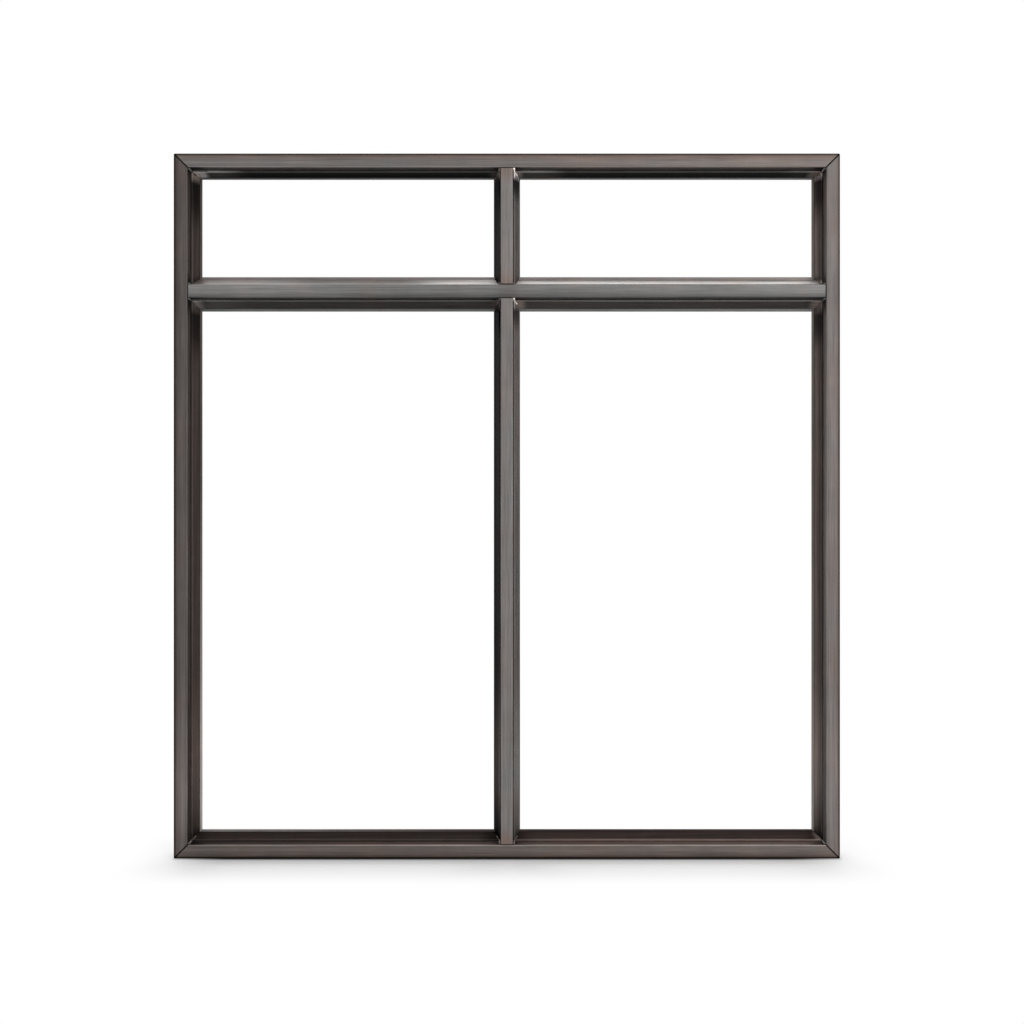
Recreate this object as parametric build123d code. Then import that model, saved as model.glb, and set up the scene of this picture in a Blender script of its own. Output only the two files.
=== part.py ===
"""Metal window frame of welded hollow steel sections, without glass.

Four mitred bars make the outer frame. One transom runs from stile to stile, and a mullion in two
lengths divides the lights above and below it. Every bar is a hollow box with a thin flange along
its back edge, so that it is L-shaped in the outer frame and T-shaped in the transom and the
mullion. Each of the four lights has a ring of splayed steel stops, mitred at the corners, which
sits in the angle between the bars' inner sides and their flanges.

Frame of the model: X runs across the window, Y from its front to its back, Z up. The origin is
the middle of the sill's underside. Sizes are in millimetres.
"""

import os

from build123d import *

# Overall size
WIDTH = 1200.0
HEIGHT = 1270.0
DEPTH = 50.0

# Hollow bars: face widths seen from the front, wall and corner rounding
FRAME_FACE = 25.0
TRANSOM_FACE = 24.0
MULLION_FACE = 22.0
TUBE_WALL = 2.0
FRONT_RADIUS = 2.0
BACK_RADIUS = 1.0
TUBE_INNER_RADIUS = 0.8
CORNER_RADIUS = 3.0
MITRE_GROOVE = 1.0

# Back flanges: how far they reach past the bar's side, and their thickness
FLANGE_THICKNESS = 4.0
FRAME_FLANGE = 16.0
HEAD_FLANGE = 12.0
TRANSOM_FLANGE = 19.5
MULLION_FLANGE = 13.0
FLANGE_RADIUS = 0.8

# Where the bars stand
TRANSOM_HEIGHT = 1022.5
MULLION_X = 0.0

# Splayed stops: reach from the bar's side, depth of their front edge below the bar's face
FRAME_STOP = 12.0
HEAD_STOP = 9.0
TRANSOM_STOP = 14.5
MULLION_STOP = 11.0
STOP_FRONT_DEPTH = 24.0
STOP_WALL = 1.5
STOP_GROOVE = 1.5
STOP_LAND = 2.3
STOP_REAR_LAND = 1.5
STOP_EDGE_RADIUS = 0.6

# Fillet welds in the corners between the bars' sides
WELD_LEG = 5.0
WELD_BULGE = 0.6
WELD_START_DEPTH = 2.5

FRONT_Y = -DEPTH / 2
FLANGE_DEPTH = DEPTH - FLANGE_THICKNESS
LEFT, RIGHT, BOTTOM, TOP = "left", "right", "bottom", "top"
SIDES = (LEFT, TOP, RIGHT, BOTTOM)


def side_plane(side, x_low, x_high, z_low, z_high):
    """Plane and length of one side of an upright rectangle.

    The plane's x runs inwards from that side, its y runs to the back, and its normal runs along
    the side, so that the four sides follow each other round the rectangle.
    """
    starts = {
        LEFT: ((x_low, z_low), (1, 0)),
        TOP: ((x_low, z_high), (0, -1)),
        RIGHT: ((x_high, z_high), (-1, 0)),
        BOTTOM: ((x_high, z_low), (0, 1)),
    }
    (x, z), (inward_x, inward_z) = starts[side]
    inward = Vector(inward_x, 0, inward_z)
    along = inward.cross(Vector(0, 1, 0))
    length = z_high - z_low if side in (LEFT, RIGHT) else x_high - x_low
    return Plane(origin=(x, FRONT_Y, z), x_dir=inward, z_dir=along), length


def mitred_length(section, length, start_steps, end_steps):
    """A section run out to a length, its two ends cut so that it meets its neighbours.

    The steps are points of the cut at each end: this piece's reach across the corner there, and
    its neighbour's.
    """
    start_cut = [(0, 0)] + start_steps
    end_cut = [(across, length - along) for across, along in [(0, 0)] + end_steps]
    outline = Polyline(*start_cut, *reversed(end_cut), close=True)
    keep = extrude(Plane.XZ * make_face(outline), DEPTH, both=True)
    return extrude(section, length) & keep


def rounded_at(face, points, radius):
    """The face with the corners at these points rounded."""
    corners = [face.vertices().sort_by_distance(Vector(*point))[0] for point in points]
    return fillet(corners, radius)


def hollow(width, offset):
    """The hollow inside a bar whose face has this width and starts at this offset."""
    inner_width = width - 2 * TUBE_WALL
    inner_depth = DEPTH - 2 * TUBE_WALL
    centre = Pos(offset + width / 2, DEPTH / 2)
    return centre * RectangleRounded(inner_width, inner_depth, TUBE_INNER_RADIUS)


def frame_section(flange):
    """L-shaped section of an outer bar, from its outer side inwards."""
    tip = FRAME_FACE + flange
    outline = make_face(
        Polyline(
            (0, 0),
            (FRAME_FACE, 0),
            (FRAME_FACE, FLANGE_DEPTH),
            (tip, FLANGE_DEPTH),
            (tip, DEPTH),
            (0, DEPTH),
            close=True,
        )
    )
    outline = rounded_at(outline, [(0, 0), (FRAME_FACE, 0)], FRONT_RADIUS)
    outline = rounded_at(outline, [(0, DEPTH)], BACK_RADIUS)
    outline = rounded_at(outline, [(tip, FLANGE_DEPTH), (tip, DEPTH)], FLANGE_RADIUS)
    return outline - hollow(FRAME_FACE, 0)


def bar_section(face, flange):
    """T-shaped section of a transom or mullion, centred on the bar."""
    side, tip = face / 2, face / 2 + flange
    outline = make_face(
        Polyline(
            (-side, 0),
            (side, 0),
            (side, FLANGE_DEPTH),
            (tip, FLANGE_DEPTH),
            (tip, DEPTH),
            (-tip, DEPTH),
            (-tip, FLANGE_DEPTH),
            (-side, FLANGE_DEPTH),
            close=True,
        )
    )
    outline = rounded_at(outline, [(-side, 0), (side, 0)], FRONT_RADIUS)
    tips = [(sign * tip, depth) for sign in (-1, 1) for depth in (FLANGE_DEPTH, DEPTH)]
    outline = rounded_at(outline, tips, FLANGE_RADIUS)
    return outline - hollow(face, -side)


def stop_section(width):
    """Section of a splayed stop, from the bar's side towards the opening."""
    land_end = STOP_GROOVE + STOP_LAND
    outline = make_face(
        Polyline(
            (0, STOP_FRONT_DEPTH + STOP_GROOVE),
            (STOP_GROOVE, STOP_FRONT_DEPTH),
            (land_end, STOP_FRONT_DEPTH),
            (width, FLANGE_DEPTH - STOP_REAR_LAND),
            (width, FLANGE_DEPTH),
            (0, FLANGE_DEPTH),
            close=True,
        )
    )
    inside = offset(outline, amount=-STOP_WALL)
    edges = [(STOP_GROOVE, STOP_FRONT_DEPTH), (land_end, STOP_FRONT_DEPTH)]
    return rounded_at(outline, edges, STOP_EDGE_RADIUS) - inside


def mitre_grooves():
    """V-grooves along the mitres, on the front and on the back, as deep as they are half wide."""
    side = MITRE_GROOVE * 2**0.5
    grooves = []
    for y in (FRONT_Y, FRONT_Y + DEPTH):
        for x, z in ((-WIDTH / 2, 0), (WIDTH / 2, 0), (-WIDTH / 2, HEIGHT), (WIDTH / 2, HEIGHT)):
            inward_x = -FRAME_FACE if x > 0 else FRAME_FACE
            inward_z = -FRAME_FACE if z > 0 else FRAME_FACE
            along = Vector(inward_x, 0, inward_z)
            plane = Plane(origin=(x, y, z), x_dir=(0, 1, 0), z_dir=along)
            grooves.append(extrude(plane * Rot(0, 0, 45) * Rectangle(side, side), along.length))
    return grooves


def outer_frame():
    """The four bars, mitred through their boxes and on to the flanges' inner corners."""
    edges = (-WIDTH / 2, WIDTH / 2, 0, HEIGHT)
    flanges = {LEFT: FRAME_FLANGE, TOP: HEAD_FLANGE, RIGHT: FRAME_FLANGE, BOTTOM: FRAME_FLANGE}
    grooves = mitre_grooves()
    envelope = Pos(0, 0, HEIGHT / 2) * extrude(
        Plane.XZ * RectangleRounded(WIDTH, HEIGHT, CORNER_RADIUS), DEPTH, both=True
    )
    names = {LEFT: "left_stile", TOP: "head", RIGHT: "right_stile", BOTTOM: "sill"}
    bars = {}
    for number, (side, name) in enumerate(names.items()):
        plane, length = side_plane(side, *edges)
        cuts = []
        for neighbour in (SIDES[number - 1], SIDES[(number + 1) % len(SIDES)]):
            tips = (FRAME_FACE + flanges[side], FRAME_FACE + flanges[neighbour])
            cuts.append([(FRAME_FACE, FRAME_FACE), tips])
        bar = mitred_length(frame_section(flanges[side]), length, *cuts)
        bars[name] = (plane.location * bar & envelope) - grooves
    return bars


def transom():
    """The long bar from stile to stile, its flange notched to butt the stiles' flanges."""
    reach = WIDTH / 2 - FRAME_FACE
    plane = Plane(origin=(-reach, FRONT_Y, TRANSOM_HEIGHT), x_dir=(0, 0, -1), z_dir=(1, 0, 0))
    bar = plane.location * extrude(bar_section(TRANSOM_FACE, TRANSOM_FLANGE), 2 * reach)
    notch_height = TRANSOM_FACE + 2 * TRANSOM_FLANGE
    notch = Box(FRAME_FLANGE, FLANGE_THICKNESS, notch_height)
    notch_x = reach - FRAME_FLANGE / 2
    notch_y = FRONT_Y + DEPTH - FLANGE_THICKNESS / 2
    return bar - [Pos(sign * notch_x, notch_y, TRANSOM_HEIGHT) * notch for sign in (-1, 1)]


def mullion(low, high, low_flange, high_flange):
    """One length of mullion, notched for the flanges of the bars below and above it."""
    plane = Plane(origin=(MULLION_X, FRONT_Y, low), x_dir=(1, 0, 0), z_dir=(0, 0, 1))
    bar = plane.location * extrude(bar_section(MULLION_FACE, MULLION_FLANGE), high - low)
    notch_width = MULLION_FACE + 2 * MULLION_FLANGE
    notch_y = FRONT_Y + DEPTH - FLANGE_THICKNESS / 2
    ends = []
    for reach, centre in (
        (low_flange, low + low_flange / 2),
        (high_flange, high - high_flange / 2),
    ):
        notch = Box(notch_width, FLANGE_THICKNESS, reach)
        ends.append(Pos(MULLION_X, notch_y, centre) * notch)
    return bar - ends


def lights():
    """The four lights, each with its edges between the bars' sides and its stops' reaches."""
    x_low, x_high = -WIDTH / 2 + FRAME_FACE, WIDTH / 2 - FRAME_FACE
    z_low, z_high = FRAME_FACE, HEIGHT - FRAME_FACE
    mullion_sides = (MULLION_X - MULLION_FACE / 2, MULLION_X + MULLION_FACE / 2)
    transom_sides = (TRANSOM_HEIGHT - TRANSOM_FACE / 2, TRANSOM_HEIGHT + TRANSOM_FACE / 2)
    across = {
        "left": (x_low, mullion_sides[0], FRAME_STOP, MULLION_STOP),
        "right": (mullion_sides[1], x_high, MULLION_STOP, FRAME_STOP),
    }
    upright = {
        "lower": (z_low, transom_sides[0], FRAME_STOP, TRANSOM_STOP),
        "upper": (transom_sides[1], z_high, TRANSOM_STOP, HEAD_STOP),
    }
    found = {}
    for row, (z0, z1, bottom_stop, top_stop) in upright.items():
        for column, (x0, x1, left_stop, right_stop) in across.items():
            reaches = {LEFT: left_stop, TOP: top_stop, RIGHT: right_stop, BOTTOM: bottom_stop}
            found[f"{row}_{column}"] = ((x0, x1, z0, z1), reaches)
    return found


def stop_ring(edges, reaches):
    """The four stops of one light, mitred where they meet."""
    ring = {}
    for number, side in enumerate(SIDES):
        before, after = SIDES[number - 1], SIDES[(number + 1) % len(SIDES)]
        plane, length = side_plane(side, *edges)
        width = reaches[side]
        cuts = [[(width, reaches[before])], [(width, reaches[after])]]
        strip = mitred_length(stop_section(width), length, *cuts)
        ring[side] = plane.location * strip
    return ring


def corner_weld(x, z, toward_x, toward_z):
    """A fillet weld that runs from front to back in the corner between two bars' sides."""
    bulge = WELD_LEG / 2 + WELD_BULGE
    face = make_face(
        [
            Line((0, 0), (WELD_LEG, 0)),
            ThreePointArc((WELD_LEG, 0), (bulge, bulge), (0, WELD_LEG)),
            Line((0, WELD_LEG), (0, 0)),
        ]
    )
    run = STOP_FRONT_DEPTH - WELD_START_DEPTH
    plane = Plane(origin=(0, FRONT_Y + WELD_START_DEPTH, 0), x_dir=(1, 0, 0), z_dir=(0, -1, 0))
    weld = extrude(plane * face, -run)
    if toward_x < 0:
        weld = mirror(weld, about=Plane.YZ)
    if toward_z < 0:
        weld = mirror(weld, about=Plane.XY)
    return Pos(x, 0, z) * weld


def corner_welds():
    """The welds of each joint, as one set for each place where bars meet."""
    groups = {}
    for light, ((x0, x1, z0, z1), _) in lights().items():
        row, column = light.split("_")
        corners = {
            (LEFT, BOTTOM): (x0, z0, 1, 1),
            (LEFT, TOP): (x0, z1, 1, -1),
            (RIGHT, BOTTOM): (x1, z0, -1, 1),
            (RIGHT, TOP): (x1, z1, -1, -1),
        }
        for (side, end), place in corners.items():
            across = column if side == column else "mullion"
            bar = {"upper": {TOP: "head", BOTTOM: "transom"}, "lower": {TOP: "transom", BOTTOM: "sill"}}
            groups.setdefault(f"welds_{bar[row][end]}_{across}", []).append(corner_weld(*place))
    return groups


def main():
    os.makedirs("parts", exist_ok=True)
    pieces = outer_frame()
    pieces["transom"] = transom()
    transom_low = TRANSOM_HEIGHT - TRANSOM_FACE / 2
    transom_high = TRANSOM_HEIGHT + TRANSOM_FACE / 2
    pieces["lower_mullion"] = mullion(FRAME_FACE, transom_low, FRAME_FLANGE, TRANSOM_FLANGE)
    pieces["upper_mullion"] = mullion(
        transom_high, HEIGHT - FRAME_FACE, TRANSOM_FLANGE, HEAD_FLANGE
    )
    for light, (edges, reaches) in lights().items():
        for side, strip in stop_ring(edges, reaches).items():
            pieces[f"{light}_light_{side}_stop"] = strip
    for name, welds in corner_welds().items():
        pieces[name] = Compound(children=[weld.solids()[0] for weld in welds])
    for name, shape in pieces.items():
        export_step(shape, f"parts/{name}.step")


main()
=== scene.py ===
"""The dressed window frame: blackened steel bars, splayed stops and their welds."""

import bpy
import math
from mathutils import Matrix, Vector


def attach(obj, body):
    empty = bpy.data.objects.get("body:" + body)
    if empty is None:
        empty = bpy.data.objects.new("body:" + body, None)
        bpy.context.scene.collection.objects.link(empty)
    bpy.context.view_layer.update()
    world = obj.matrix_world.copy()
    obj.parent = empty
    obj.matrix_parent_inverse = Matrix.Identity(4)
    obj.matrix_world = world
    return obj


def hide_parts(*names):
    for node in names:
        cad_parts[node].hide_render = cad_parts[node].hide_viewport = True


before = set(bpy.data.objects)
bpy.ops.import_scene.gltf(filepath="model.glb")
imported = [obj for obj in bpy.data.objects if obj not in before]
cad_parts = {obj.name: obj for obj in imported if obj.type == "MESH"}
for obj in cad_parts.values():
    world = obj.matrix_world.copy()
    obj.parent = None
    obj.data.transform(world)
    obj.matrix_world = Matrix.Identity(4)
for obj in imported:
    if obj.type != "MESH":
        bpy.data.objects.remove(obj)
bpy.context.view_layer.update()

# The view: straight on and level, from a little above half of the window's height, as a
# photographer sets up a camera so that the stiles stay upright. The lens is shifted down a
# little to bring in the sill and the floor.
camera = bpy.data.objects.new("Camera", bpy.data.cameras.new("Camera"))
bpy.context.scene.collection.objects.link(camera)
camera.location = (0.0093, -2.475, 0.680)
camera.rotation_euler = (math.pi / 2, 0.0, 0.0)
camera.data.sensor_width = 36.0
camera.data.lens = 47.85
camera.data.shift_y = -0.0302
bpy.context.scene.camera = camera
bpy.context.scene.view_settings.view_transform = "Standard"


# The studio: a white room. The floor near the window is matt grey and takes the soft shadow
# that the sill throws towards the camera. A contact shadow is painted along the sill's foot, and
# a little way from the window the floor blends into white as the air; that blend paints the
# shadow's fall-off.
class Wire:
    """One value in a finish. Sums on it lay Math nodes, and colours go through mix and tint."""

    def __init__(self, socket):
        self.socket = socket
        self.tree = socket.id_data

    def node(self, kind, settings, inputs, output=0):
        """Any other node, with its settings made before its sockets are joined."""
        made = self.tree.nodes.new(kind)
        for name, value in settings.items():
            setattr(made, name, value)
        for key, value in inputs.items():
            if isinstance(value, Wire):
                self.tree.links.new(value.socket, made.inputs[key])
            else:
                made.inputs[key].default_value = value
        return Wire(made.outputs[output]) if made.outputs else None

    def math(self, operation, *values):
        return self.node("ShaderNodeMath", {"operation": operation}, dict(enumerate(values)))

    def __add__(self, other):
        return self.math("ADD", self, other)

    def __sub__(self, other):
        return self.math("SUBTRACT", self, other)

    def __rsub__(self, other):
        return self.math("SUBTRACT", other, self)

    def __mul__(self, other):
        return self.math("MULTIPLY", self, other)

    def __abs__(self):
        return self.math("ABSOLUTE", self)

    __radd__ = __add__
    __rmul__ = __mul__

    def rise(self, low, high):
        """0 up to low, 1 from high on, and smooth between them."""
        ends = {"Value": self, "From Min": low, "From Max": high}
        return self.node("ShaderNodeMapRange", {"interpolation_type": "SMOOTHSTEP"}, ends)

    def fade(self, low, high):
        """1 up to low, 0 from high on, and smooth between them."""
        return 1 - self.rise(low, high)

    def band(self, start, full, last, end):
        """1 from full to last, 0 up to start and from end on, and smooth between them."""
        return self.rise(start, full) * self.fade(last, end)

    def mix(self, low, high):
        """The colour low where this is 0, and high where it is 1."""
        return self.node("ShaderNodeMix", {"data_type": "RGBA"}, {0: self, 6: low, 7: high}, 2)

    def tint(self, colour):
        """The colour, as bright as this value."""
        scaled = {0: colour, 3: self}
        return self.node("ShaderNodeVectorMath", {"operation": "SCALE"}, scaled)


def new_board(holder):
    """An empty node tree of a material or a world."""
    holder.use_nodes = True
    holder.node_tree.nodes.clear()
    return holder.node_tree


def any_ray(board, first, *others):
    """1 for light that comes by one of these kinds of ray, and 0 for all other light."""
    rays = board.nodes.new("ShaderNodeLightPath").outputs
    found = Wire(rays[first])
    for other in others:
        found = found.math("MAXIMUM", found, Wire(rays[other]))
    return found


WHITE = (1.0, 1.0, 1.0, 1.0)
ROOM_LIGHT = 0.78
world = bpy.data.worlds.new("White room")
bpy.context.scene.world = world
seen = any_ray(new_board(world), "Is Camera Ray", "Is Glossy Ray", "Is Transmission Ray")
level = seen * (1 - ROOM_LIGHT) + ROOM_LIGHT
air = level.node("ShaderNodeBackground", {}, {"Color": WHITE, "Strength": level})
air.node("ShaderNodeOutputWorld", {}, {"Surface": air})

FLOOR_HALF = 6.0
FLOOR_COLOUR = (0.80, 0.80, 0.80, 1.0)
# The colour of the contact shadow painted along the sill's foot.
PAINTED_CONTACT_SHADOW_COLOUR = (0.06, 0.06, 0.06, 1.0)
CONTACT_SIDE, CONTACT_FRONT = (0.596, 0.606), (0.024, 0.038)     # the edges of the sill's print
SHADOW_SIDE, SHADOW_FRONT = (0.50, 0.70), (0.075, 0.195)         # where the shadow runs out
corners = [(-1, -1), (1, -1), (1, 1), (-1, 1)]
floor_mesh = bpy.data.meshes.new("Floor")
floor_mesh.from_pydata([(x * FLOOR_HALF, y * FLOOR_HALF, 0.0) for x, y in corners],
                       [], [(0, 1, 2, 3)])
floor = bpy.data.objects.new("Floor", floor_mesh)
bpy.context.scene.collection.objects.link(floor)
paint = bpy.data.materials.new("Floor white")
board = new_board(paint)
place = Wire(board.nodes.new("ShaderNodeTexCoord").outputs["Object"])
sideways, forward = [
    abs(place.node("ShaderNodeSeparateXYZ", {}, {0: place}, axis)) for axis in "XY"]
# A painted contact shadow: the floor is painted near black along the sill's foot.
painted_contact_shadow = sideways.fade(*CONTACT_SIDE) * forward.fade(*CONTACT_FRONT)
matt = painted_contact_shadow.node("ShaderNodeBsdfDiffuse", {}, {
    "Color": painted_contact_shadow.mix(FLOOR_COLOUR, PAINTED_CONTACT_SHADOW_COLOUR)})
bright = painted_contact_shadow.node("ShaderNodeEmission", {}, {"Color": WHITE, "Strength": 1.0})
# Away from the window the floor blends from matt grey into white. The blend paints the shadow's
# fall-off.
away = 1 - sideways.fade(*SHADOW_SIDE) * forward.fade(*SHADOW_FRONT)
blend = away.node("ShaderNodeMixShader", {}, {
    0: away * any_ray(board, "Is Camera Ray", "Is Glossy Ray"), 1: matt, 2: bright})
blend.node("ShaderNodeOutputMaterial", {}, {"Surface": blend})
floor_mesh.materials.append(paint)


def softbox(name, place, aim, width, height, power):
    """A soft lamp that points at a place."""
    lamp = bpy.data.lights.new(name, "AREA")
    lamp.shape = "RECTANGLE"
    lamp.size, lamp.size_y = width, height
    lamp.energy = power
    held = bpy.data.objects.new(name, lamp)
    bpy.context.scene.collection.objects.link(held)
    held.location = place
    held.rotation_euler = (Vector(aim) - Vector(place)).to_track_quat("-Z", "Y").to_euler()


softbox("Key lamp", (1.7, -2.9, 1.9), (0.1, 0.0, 0.7), width=1.8, height=1.8, power=30.0)
softbox("Back lamp", (0.0, 1.9, 0.85), (0.0, -0.2, 0.2), width=3.2, height=1.4, power=50.0)


# The four outer bars: hollow steel box sections with a flange along the back, cut to mitres
# and welded. The steel is blackened and waxed and streaked along its length by rolling and
# brushing. Its face is darker towards its outer edge, with painted shade along that edge and a
# painted highlight along the edge towards the opening.
MM = 1000.0
HALF_WIDTH, HEIGHT, HALF_DEPTH = 600.0, 1270.0, 25.0
HALF_HEIGHT = HEIGHT / 2
FRAME_FACE = 25.0
GREY_STEEL = (1.0, 1.0, 0.985, 1.0)
RUSSET_STEEL = (1.31, 0.985, 0.87, 1.0)
GLOSS_TINT = (1.2, 1.16, 1.12)
BAR_ROUGHNESS, BAR_GLOSS = 0.36, 0.25
STEEL_METALLIC, RELIEF_DEPTH = 0.85, 0.0003
FINE_STREAK, BROAD_STREAK = (0.8, 0.012), (0.22, 0.004)     # waves to a mm, across and along
MOTTLE, CLOUD, GRAIN = 0.03, 0.010, 1.4                     # waves to a mm
STREAKED, MOTTLED, GRAINED = 0.85, 0.14, 0.20               # how much each changes the tone
# Places on an outer bar in millimetres: in depth, across it from its outer side, to both sides
# of a mitre, and up from a stile's foot.
FRONT, SIDE, SIDE_FILL_LIGHT, LIP = (1.6, 3.2), (1.0, 3.2), (15.0, 22.0), (44.0, 45.4, 48.4, 49.6)
FACE_BLEND, DARK_EDGE, BLACK_EDGE = (0.0, 16.0), (1.0, 7.0), (1.6, 4.6)
INNER_DARK_LINE, HIGHLIGHT_EDGE, SIDE_ACROSS = (20.4, 21.4, 21.4, 22.4), (22.4, 23.6), (24.2, 24.9)
MITRE_LINE = (1.2, 2.6)
FLOOR_GLEAM = (20.0, 90.0, 110.0, 300.0)


def steel_board(name):
    """A new finish: its material, and the place in millimetres, with depth from the front."""
    steel = bpy.data.materials.new(name)
    board = new_board(steel)
    place = Wire(board.nodes.new("ShaderNodeTexCoord").outputs["Object"])
    x, y, z = [place.node("ShaderNodeSeparateXYZ", {}, {0: place}, axis) * MM for axis in "XYZ"]
    return steel, (x, y + HALF_DEPTH, z)


def noise(x, y, z, scale, detail):
    """Smooth noise about 0.5 on a place in millimetres."""
    at = x.node("ShaderNodeCombineXYZ", {}, {0: x, 1: y, 2: z})
    return at.node("ShaderNodeTexNoise", {}, {"Vector": at, "Scale": scale, "Detail": detail})


def vary(pattern, amount):
    """1 on the average, less by the amount where the pattern is 0 and more where it is 1."""
    return (1 - amount) + 2 * amount * pattern


def lay(under, over, mask):
    """A coat laid over another where the mask is 1. A coat is its tone and its warmth."""
    return [low + (high - low) * mask for low, high in zip(under, over)]


def rolled_streaks(across, depth, along):
    """Fine streaks that run along a bar."""
    fine, broad = [
        noise(across * narrow, depth * narrow, along * long, 1.0, detail)
        for (narrow, long), detail in ((FINE_STREAK, 4.0), (BROAD_STREAK, 2.0))]
    return fine * 0.6 + broad * 0.4


def finish_steel(node, steel, place, coat, streaks, roughness, gloss):
    """Joins the colour, the roughness and the fine relief, and gives them to a piece."""
    tone, warmth = coat
    mottle = noise(*place, MOTTLE, 4.0)
    cloud = noise(*place, CLOUD, 3.0)
    grain = noise(*place, GRAIN, 2.0)
    russet = warmth + (cloud - 0.5) * 0.9 + (streaks - 0.5) * 0.5
    worn = vary(streaks, STREAKED) * vary(mottle, MOTTLED) * vary(grain, GRAINED)
    relief = grain.node("ShaderNodeBump", {}, {
        "Strength": 0.25, "Distance": RELIEF_DEPTH, "Height": streaks * 0.8 + grain * 0.2})
    shader = grain.node("ShaderNodeBsdfPrincipled", {}, {
        "Base Color": (tone * worn).tint(russet.mix(GREY_STEEL, RUSSET_STEEL)),
        "Roughness": roughness + streaks * 0.16 + grain * 0.06,
        "Metallic": STEEL_METALLIC, "Normal": relief, "Specular IOR Level": gloss,
        "Specular Tint": (*(gloss * part for part in GLOSS_TINT), 1.0)})
    shader.node("ShaderNodeOutputMaterial", {}, {"Surface": shader})
    slots = bpy.data.objects[node].data.materials
    slots.clear()
    slots.append(steel)


def outer_bar(node, across_of, along_of, half, lip_start, outside, inside, sides, lips,
              edge_highlight, shade, lean, bloom=0.0, gleam=0.0):
    """The finish of one outer bar. across_of gives the distance from its outer side. outside
    and inside are the coats of its face, and its side and its lip have one for each end; their
    tones paint light and shade as well as the steel's. edge_highlight is how bright the painted
    highlight on the face's inner edge is (below 0, painted shade), shade how dark the painted
    shade on its outer edge is, lean how much lighter it gets along its length, bloom how much
    browner, and gleam how far the floor lights it."""
    steel, place = steel_board(node + "_steel")
    depth = place[1]
    across, along = across_of(place), along_of(place)
    streaks = rolled_streaks(across, depth, along)
    from_low, from_end = half + along, half - abs(along)
    run = along * (0.5 / half) + 0.5
    front = depth.fade(*FRONT)
    mitre = abs(across - from_end).fade(*MITRE_LINE)
    tone, warmth = lay(outside, inside, across.rise(*FACE_BLEND))
    # A darker line across the face, just short of its inner edge.
    tone = tone * (1 - 0.25 * across.band(*INNER_DARK_LINE))
    # A painted highlight on the face's inner edge, which is painted shade where the value is below
    # 0.
    tone = tone * (1 + edge_highlight * across.rise(*HIGHLIGHT_EDGE) * front)
    tone = tone * (1 - 0.42 * across.fade(*DARK_EDGE) * front)
    # Painted shade along the outer edge, where it rounds away from the light.
    tone = tone * (1 - shade * across.fade(*BLACK_EDGE) * front)
    tone = tone * (1 - 0.80 * mitre * front) * vary(run, lean)
    tone = tone * (1 + gleam * from_low.band(*FLOOR_GLEAM) * front)
    # The side is painted darker than the face, as painted shade in the reveal, and painted lighter
    # towards its rear, where the groove beside the stop lies in shade.
    reveal = across.rise(*SIDE_ACROSS) * depth.rise(*SIDE)
    side_tone, side_warmth = lay(*sides, run)
    side_tone = side_tone * (1 + 1.3 * depth.rise(*SIDE_FILL_LIGHT))
    coat = lay((tone, warmth + bloom * run), (side_tone, side_warmth), reveal)
    lip = across.rise(lip_start - 1.0, lip_start + 0.4) * depth.band(*LIP)
    coat = lay(coat, lay(*lips, run.rise(0.0, 0.6)), lip)
    finish_steel(node, steel, place, coat, streaks, BAR_ROUGHNESS, BAR_GLOSS)


# The bars' coats paint light and shade as well as the steel's tone: the left stile darker than the
# right stile, the sides darker than the faces, and the stiles' lips lighter towards the floor.
outer_bar("head", lambda p: HEIGHT - p[2], lambda p: p[0], half=HALF_WIDTH, lip_start=34.0,
          outside=(0.106, 0.9), inside=(0.146, 0.1),
          sides=((0.050, 0.2), (0.055, 0.2)), lips=((0.120, 0.0), (0.138, 0.0)),
          edge_highlight=0.28, shade=0.50, lean=-0.13, bloom=0.45)
outer_bar("sill", lambda p: p[2], lambda p: p[0], half=HALF_WIDTH, lip_start=37.0,
          outside=(0.086, 1.0), inside=(0.134, 0.55),
          sides=((0.030, 0.7), (0.080, 0.8)), lips=((0.250, 0.0), (0.042, 0.8)),
          edge_highlight=0.50, shade=0.80, lean=0.14)
outer_bar("left_stile", lambda p: p[0] + HALF_WIDTH, lambda p: p[2] - HALF_HEIGHT,
          half=HALF_HEIGHT, lip_start=37.0,
          outside=(0.060, 0.6), inside=(0.101, 0.45),
          sides=((0.045, 0.5), (0.040, 0.5)), lips=((0.500, 0.2), (0.100, 0.35)),
          edge_highlight=-0.06, shade=0.55, lean=-0.10, gleam=0.42)
outer_bar("right_stile", lambda p: HALF_WIDTH - p[0], lambda p: p[2] - HALF_HEIGHT,
          half=HALF_HEIGHT, lip_start=37.0,
          outside=(0.132, 0.75), inside=(0.148, 0.35),
          sides=((0.105, 0.4), (0.062, 0.4)), lips=((0.280, 0.3), (0.110, 0.4)),
          edge_highlight=-0.05, shade=0.55, lean=-0.22, gleam=0.10)


# The transom and the two lengths of mullion: hollow sections with a flange on both sides of
# the back, cut square, butted and welded between the outer bars. They are lighter than the
# outer bars, with a painted highlight on both edges of each face, and their coats paint light
# and shade: the transom lighter along its upper half, the sides darker than the faces, and
# the mullions' flanges darker on the left than on the right.
TRANSOM_HEIGHT, TRANSOM_FACE, MULLION_FACE = 1022.5, 24.0, 22.0
UNDER_HEAD = HEIGHT - FRAME_FACE
OVER_TRANSOM, UNDER_TRANSOM = TRANSOM_HEIGHT + TRANSOM_FACE / 2, TRANSOM_HEIGHT - TRANSOM_FACE / 2
UPPER_HALF, LOWER_HALF = (UNDER_HEAD - OVER_TRANSOM) / 2, (UNDER_TRANSOM - FRAME_FACE) / 2
# Places on an inner bar in millimetres: across it from its middle, in depth, along it from its
# middle, and away from a joint.
SHADED_EDGE, INNER_LIP, INNER_SIDE = (-11.0, -2.0), (19.0, 21.0), (1.8, 4.2)
LIGHTER_END, BUTT_LINE, HEAT_SPREAD = (-450.0, -150.0), (0.8, 2.2), (4.0, 34.0)


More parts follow.
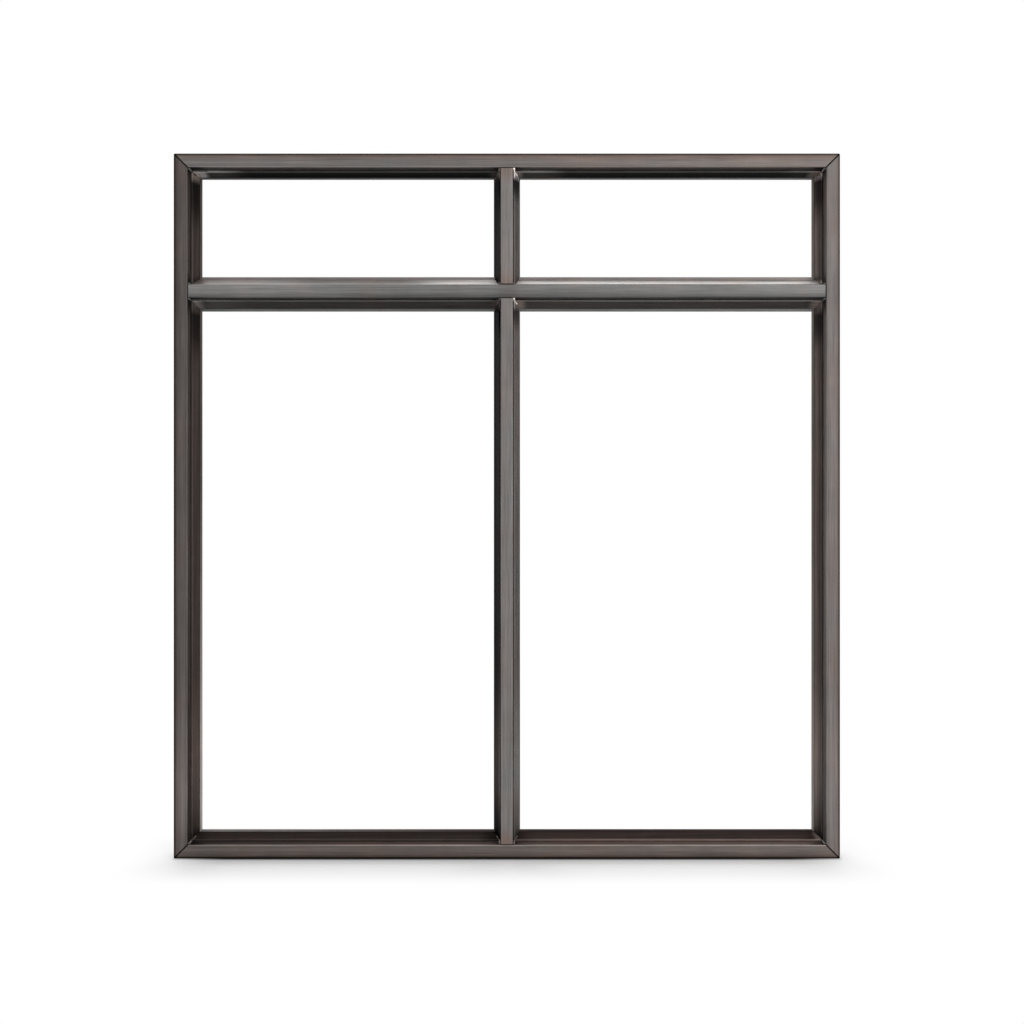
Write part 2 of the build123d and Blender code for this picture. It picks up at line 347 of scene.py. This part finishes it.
def inner_bar(node, across_of, along_of, half, half_face, low, high, sides, low_lip, high_lip,
              brown, joint=None, lift=0.0, shade=0.0):
    """The finish of the transom or a mullion. across_of gives the distance from its middle. The
    coats are those of its face's two halves, its sides and its two lips. brown is how brown the
    welding left it, at a joint along it or at both ends, lift how much lighter it is towards its
    low end, and shade how dark the painted shade along its lower edge is."""
    steel, place = steel_board(node + "_steel")
    depth = place[1]
    side, along = across_of(place), along_of(place)
    across, from_end = abs(side), half - abs(along)
    streaks = rolled_streaks(side, depth, along)
    front = depth.fade(*FRONT)
    tone, warmth = lay(low, high, side.rise(-half_face, half_face))
    # A painted highlight on both edges of the face.
    tone = tone * (1 + 0.12 * across.rise(half_face - 2.2, half_face - 1.0) * front)
    tone = tone * (1 - shade * side.fade(*SHADED_EDGE))
    heat_tint_and_painted_light = (from_end if joint is None else abs(along - joint)).fade(*HEAT_SPREAD)
    tone, warmth = tone * (1 - 0.14 * heat_tint_and_painted_light), warmth + brown * heat_tint_and_painted_light
    tone = tone * (1 - 0.80 * from_end.fade(*BUTT_LINE) * front)
    tone = tone * (1 + lift * along.fade(*LIGHTER_END))
    reveal = across.rise(half_face - 0.6, half_face - 0.1) * depth.rise(*INNER_SIDE)
    lip = across.rise(*INNER_LIP) * depth.band(*LIP)
    coat = lay((tone, warmth), sides, reveal)
    coat = lay(coat, lay(low_lip, high_lip, side.rise(-1.0, 1.0)), lip)
    finish_steel(node, steel, place, coat, streaks, BAR_ROUGHNESS, BAR_GLOSS)


# The coats paint light and shade: the transom's upper half lighter than its lower, and each
# mullion's left flange darker than its right.
inner_bar("transom", lambda p: p[2] - TRANSOM_HEIGHT, lambda p: p[0],
          half=HALF_WIDTH - FRAME_FACE, half_face=TRANSOM_FACE / 2,
          low=(0.128, 0.05), high=(0.170, 0.05), sides=(0.090, 0.1),
          low_lip=(0.150, 0.05), high_lip=(0.170, 0.3),
          brown=0.15, joint=0.0, lift=0.34, shade=0.30)
inner_bar("upper_mullion", lambda p: p[0], lambda p: p[2] - (OVER_TRANSOM + UPPER_HALF),
          half=UPPER_HALF, half_face=MULLION_FACE / 2,
          low=(0.178, 0.25), high=(0.175, 0.2), sides=(0.040, 0.3),
          low_lip=(0.040, 0.4), high_lip=(0.105, 0.3), brown=0.6)
inner_bar("lower_mullion", lambda p: p[0], lambda p: p[2] - (FRAME_FACE + LOWER_HALF),
          half=LOWER_HALF, half_face=MULLION_FACE / 2,
          low=(0.172, 0.25), high=(0.174, 0.2), sides=(0.040, 0.3),
          low_lip=(0.030, 0.5), high_lip=(0.115, 0.3), brown=0.8, joint=-LOWER_HALF)


# The splayed stops: strips of sheet steel folded to a slope, four to a light, mitred at the
# corners and set in the angle between a bar's side and its flange. They lie in the bars'
# shade, and their tones paint that shade and the light on them by how each stop faces: those
# facing up are painted bright and those facing down near black. The welders ground them
# clean at some corners.
STOP_WIDTHS = {"frame": 12.0, "head": 9.0, "transom": 14.5, "mullion": 11.0}
STOP_ROUGHNESS, STOP_GLOSS = 0.40, 0.12
# Places on a stop in millimetres: across it, and up from its foot.
GROOVE_FILL_LIGHT, FRONT_EDGE, SLOPE_START = (0.9, 2.0), (2.6, 5.0), 4.0
STOP_GLEAM, FOOT_SHADE = (20.0, 110.0, 140.0, 340.0), (2.0, 26.0)
CLEAN_TONE, CLEAN_WARMTH, SCALED_WARMTH = 0.4, 0.15, 0.7


def worked_end(ground, reach, heat_tint_and_painted_light=0.0, spread=1.0):
    """An end of a stop: the tone that it is ground to and how far, and how much lighter (darker,
    below 0) it is beyond that, as heat tint and as painted light and painted shade near the
    corner, and how far."""
    return ground, reach, heat_tint_and_painted_light, spread


def stop(node, across_of, along_of, half, width, front, slope, ends, gleam=0.0):
    """The finish of one stop. across_of gives the distance from the side that it sits on. front
    is the coat of its front edge, and slope has those of its slope at that edge and at its foot.
    ends are two worked ends, and gleam is how far the floor lights the low one."""
    steel, place = steel_board(node + "_steel")
    across, along = across_of(place), along_of(place)
    from_low, from_high = half + along, half - along
    streaks = rolled_streaks(across, place[1], along)
    coat = lay(*slope, across.rise(SLOPE_START, width))
    tone, warmth = lay(coat, front, across.fade(*FRONT_EDGE))
    # Painted light along the stop's edge beside the bar's side, lifting the shade in the groove
    # there.
    tone = tone * (1 + 2.0 * across.fade(*GROOVE_FILL_LIGHT))
    tone = tone * (1 + gleam * from_low.band(*STOP_GLEAM))
    tone = tone * (1 - min(gleam, 0.75) * from_low.fade(*FOOT_SHADE))
    for (ground, reach, heat_tint_and_painted_light, spread), from_end in zip(ends, (from_low, from_high)):
        # Beyond each end: heat tint and painted light, which becomes painted shade where the value
        # is below 0.
        tone = tone * (1 + heat_tint_and_painted_light * from_end.fade(0.4 * spread, spread))
        bare = (ground, CLEAN_WARMTH if ground >= CLEAN_TONE else SCALED_WARMTH)
        tone, warmth = lay((tone, warmth), bare, from_end.fade(0.25 * reach, reach))
    finish_steel(node, steel, place, (tone, warmth), streaks, STOP_ROUGHNESS, STOP_GLOSS)


# What each light's stops look like. The ends of a stop are its left or lower one, and then its
# right or upper one. Their tones are painted light and shade, set for each stop by how it
# faces the lamps and the floor.
PLAIN = worked_end(0.03, 3.0)
LIGHTS = {
    ("upper", "left"): {
        "left": dict(front=(0.097, 0.6), slope=((0.046, 0.6), (0.053, 0.7)),
                     ends=(PLAIN, worked_end(0.28, 25.0, -0.68, 125.0))),
        "right": dict(front=(0.040, 0.3), slope=((0.023, 0.3), (0.023, 0.4)),
                      ends=(PLAIN, worked_end(0.22, 20.0, -0.70, 85.0))),
        "bottom": dict(front=(0.560, 0.1), slope=((0.350, 0.2), (0.265, 0.2)),
                       ends=(worked_end(0.26, 34.0, 0.35, 240.0),
                             worked_end(0.50, 6.0, 1.25, 190.0))),
        "top": dict(front=(0.090, 0.1), slope=((0.009, 0.1), (0.009, 0.1)),
                    ends=(worked_end(0.70, 34.0, 4.0, 110.0), worked_end(0.07, 26.0))),
    },
    ("upper", "right"): {
        "left": dict(front=(0.135, 0.3), slope=((0.132, 0.3), (0.145, 0.3)),
                     ends=(PLAIN, worked_end(0.95, 20.0, -0.83, 65.0))),
        "right": dict(front=(0.079, 0.4), slope=((0.050, 0.4), (0.122, 0.7)),
                      ends=(worked_end(0.35, 14.0), worked_end(0.45, 20.0, -0.66, 105.0))),
        "bottom": dict(front=(0.230, 0.1), slope=((0.990, 0.15), (0.300, 0.2)),
                       ends=(worked_end(0.30, 10.0), worked_end(0.30, 10.0))),
        "top": dict(front=(0.095, 0.1), slope=((0.013, 0.1), (0.015, 0.1)),
                    ends=(worked_end(0.26, 22.0, 2.6, 110.0),
                          worked_end(0.24, 33.0, 0.8, 90.0))),
    },
    ("lower", "left"): {
        "left": dict(front=(0.098, 0.7), slope=((0.043, 0.8), (0.051, 0.8)),
                     ends=(PLAIN, worked_end(0.14, 30.0, -0.68, 125.0)), gleam=0.55),
        "right": dict(front=(0.036, 0.4), slope=((0.019, 0.5), (0.019, 0.5)),
                      ends=(PLAIN, worked_end(0.12, 24.0, -0.90, 85.0)), gleam=2.6),
        "bottom": dict(front=(0.075, 0.7), slope=((0.029, 0.9), (0.028, 0.9)),
                       ends=(worked_end(0.06, 18.0), worked_end(0.02, 3.0, -0.4, 45.0))),
        "top": dict(front=(0.150, 0.15), slope=((0.046, 0.2), (0.050, 0.2)),
                    ends=(worked_end(0.45, 26.0, 0.5, 110.0), worked_end(0.09, 22.0))),
    },
    ("lower", "right"): {
        "left": dict(front=(0.150, 0.3), slope=((0.133, 0.3), (0.150, 0.3)),
                     ends=(PLAIN, worked_end(0.44, 24.0, -0.70, 62.0)), gleam=0.45),
        "right": dict(front=(0.080, 0.4), slope=((0.041, 0.5), (0.102, 0.8)),
                      ends=(PLAIN, worked_end(0.20, 30.0, -0.66, 105.0)), gleam=0.75),
        "bottom": dict(front=(0.190, 0.9), slope=((0.036, 1.0), (0.038, 1.1)),
                       ends=(worked_end(0.03, 3.0, -0.3, 40.0), worked_end(0.34, 20.0))),
        "top": dict(front=(0.185, 0.2), slope=((0.055, 0.3), (0.062, 0.3)),
                    ends=(worked_end(0.26, 28.0), worked_end(0.36, 28.0))),
    },
}
COLUMNS = {"left": (FRAME_FACE - HALF_WIDTH, -MULLION_FACE / 2),
           "right": (MULLION_FACE / 2, HALF_WIDTH - FRAME_FACE)}
ROWS = {"upper": (OVER_TRANSOM, UNDER_HEAD), "lower": (FRAME_FACE, UNDER_TRANSOM)}
for (row, column), looks in LIGHTS.items():
    (x0, x1), (z0, z1) = COLUMNS[column], ROWS[row]
    across_of = {
        "left": lambda p, edge=x0: p[0] - edge,
        "right": lambda p, edge=x1: edge - p[0],
        "bottom": lambda p, edge=z0: p[2] - edge,
        "top": lambda p, edge=z1: edge - p[2],
    }
    for side, look in looks.items():
        if side in COLUMNS:
            bar = "frame" if side == column else "mullion"
            along_of, half = lambda p, middle=(z0 + z1) / 2: p[2] - middle, (z1 - z0) / 2
        else:
            bar = {"upper_top": "head", "lower_bottom": "frame"}.get(f"{row}_{side}", "transom")
            along_of, half = lambda p, middle=(x0 + x1) / 2: p[0] - middle, (x1 - x0) / 2
        stop(f"{row}_{column}_light_{side}_stop", across_of[side], along_of, half,
             STOP_WIDTHS[bar], **look)


# The welds: short beads in the corners between the bars' sides, from the front to the stops,
# a tack at the head of each mitre of the stops, and a few longer runs between a bar and its
# stop. Each bead is a row of overlapping ripples, one for each pause of the torch.
RIPPLE_SPACING, RIPPLE_OVERLAP, RIPPLE_SIZES = 0.0016, 1.15, (0.90, 1.06)
CORNER_BEAD, MITRE_TACK, STOP_RUN = 0.0029, 0.0019, 0.0022
WELD_TONE, GROUND_TONE = 0.085, 0.80
# The ground welds are just right of the mullion, under the head and under the transom: so far
# above or below a middle height, and none of those at the sill.
GROUND_ACROSS, GROUND_FROM = (10.0, 12.0, 22.0, 26.0), (960.0, 980.0)
GROUND_MIDDLE, GROUND_REACH = 1127.5, (105.0, 110.0)


def weld_metal():
    """The finish of the welds: dark scale, and ground bright right of the mullion."""
    metal, place = steel_board("weld_steel")
    x, _, z = place
    scale = noise(*place, 0.5, 3.0)
    grain = noise(*place, 2.5, 2.0)
    ground = x.band(*GROUND_ACROSS) * abs(z - GROUND_MIDDLE).rise(*GROUND_REACH)
    ground = ground * z.rise(*GROUND_FROM)
    tone = (WELD_TONE + (GROUND_TONE - WELD_TONE) * ground) * vary(scale, 0.4)
    relief = x.node("ShaderNodeBump", {}, {
        "Strength": 0.3, "Distance": RELIEF_DEPTH, "Height": grain})
    shader = x.node("ShaderNodeBsdfPrincipled", {}, {
        "Base Color": tone.tint((scale * 0.6).mix(GREY_STEEL, RUSSET_STEEL)),
        "Roughness": 0.30 + 0.2 * grain, "Metallic": STEEL_METALLIC, "Normal": relief})
    shader.node("ShaderNodeOutputMaterial", {}, {"Surface": shader})
    return metal


def ripple_tree(metal):
    """Lays overlapping ripples along every path, each as wide as the path's own bead."""
    tree = bpy.data.node_groups.new("Weld ripples", "GeometryNodeTree")
    for name, kind in (("Paths", "Geometry"), ("Spacing", "Float"), ("Seed", "Int")):
        tree.interface.new_socket(name, in_out="INPUT", socket_type="NodeSocket" + kind)
    tree.interface.new_socket("Beads", in_out="OUTPUT", socket_type="NodeSocketGeometry")
    given = tree.nodes.new("NodeGroupInput").outputs
    paths, spacing, seed = (Wire(given[name]) for name in ("Paths", "Spacing", "Seed"))
    lines = paths.node("GeometryNodeMeshToCurve", {}, {"Mesh": paths})
    stops = lines.node("GeometryNodeCurveToPoints", {"mode": "LENGTH"},
                       {"Curve": lines, "Length": spacing})
    turn = Wire(stops.socket.node.outputs["Rotation"])
    bead = paths.node("GeometryNodeInputNamedAttribute", {"data_type": "FLOAT"}, {"Name": "bead"})
    smallest, largest = RIPPLE_SIZES
    uneven = seed.node("FunctionNodeRandomValue", {"data_type": "FLOAT"},
                       {2: smallest, 3: largest, "Seed": seed}, 1)
    width = bead * uneven
    size = width.node("ShaderNodeCombineXYZ", {}, {
        0: width, 1: width, 2: spacing * RIPPLE_OVERLAP})
    ripple = paths.node("GeometryNodeMeshUVSphere", {}, {"Segments": 14, "Rings": 8, "Radius": 1.0})
    row = stops.node("GeometryNodeInstanceOnPoints", {}, {
        "Points": stops, "Instance": ripple, "Rotation": turn, "Scale": size})
    whole = row.node("GeometryNodeRealizeInstances", {}, {0: row})
    smooth = whole.node("GeometryNodeSetShadeSmooth", {}, {0: whole})
    done = smooth.node("GeometryNodeSetMaterial", {}, {"Geometry": smooth, "Material": metal})
    done.node("NodeGroupOutput", {}, {0: done})
    return tree


def corner_paths(x, z, toward_x, toward_z):
    """The two beads at one corner of a light, in millimetres with depth from the front."""
    def at(step, depth):
        return (x + toward_x * step, depth, z + toward_z * step)
    return [(at(1.2, 4.4), at(1.2, 23.0), CORNER_BEAD), (at(3.0, 24.6), at(7.0, 31.5), MITRE_TACK)]


beads = {}
for row, column in LIGHTS:
    (x0, x1), (z0, z1) = COLUMNS[column], ROWS[row]
    for x, toward_x, side in ((x0, 1, "left"), (x1, -1, "right")):
        for z, toward_z, bar in ((z0, 1, "sill" if row == "lower" else "transom"),
                                 (z1, -1, "head" if row == "upper" else "transom")):
            across = column if side == column else "mullion"
            beads.setdefault(f"{bar}_{across}", []).extend(corner_paths(x, z, toward_x, toward_z))
RUN_DEPTH, RUN_DROP = 24.2, 0.8     # the longer runs, just under the head and the transom
for joint, z, x_start, x_end in (
        ("head_left", UNDER_HEAD, -570.0, -546.0), ("transom_left", UNDER_TRANSOM, -571.0, -547.0),
        ("transom_mullion", UNDER_TRANSOM, -18.0, -13.0),
        ("transom_right", UNDER_TRANSOM, 571.0, 557.0)):
    start, end = [(x, RUN_DEPTH, z - RUN_DROP) for x in (x_start, x_end)]
    beads[joint].append((start, end, STOP_RUN))

ripples = ripple_tree(weld_metal())
sockets = {item.name: item.identifier for item in ripples.interface.items_tree
           if item.in_out == "INPUT"}
for number, (joint, paths) in enumerate(sorted(beads.items())):
    mesh = bpy.data.meshes.new("bead_paths")
    points = [point for start, end, _ in paths for point in (start, end)]
    mesh.from_pydata([(x / MM, (depth - HALF_DEPTH) / MM, z / MM) for x, depth, z in points],
                     [(2 * path, 2 * path + 1) for path in range(len(paths))], [])
    widths = mesh.attributes.new("bead", "FLOAT", "POINT")
    widths.data.foreach_set("value", [width for _, _, width in paths for _ in range(2)])
    piece = bpy.data.objects.new(f"weld_beads_{joint}", mesh)
    bpy.context.scene.collection.objects.link(piece)
    laid = piece.modifiers.new("Ripples", "NODES")
    laid.node_group = ripples
    laid[sockets["Spacing"]] = RIPPLE_SPACING
    laid[sockets["Seed"]] = number
    bpy.context.view_layer.update()
    solid = bpy.data.meshes.new_from_object(
        piece.evaluated_get(bpy.context.evaluated_depsgraph_get()))
    piece.modifiers.clear()
    piece.data = solid
    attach(piece, "root")
    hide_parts(f"welds_{joint}")
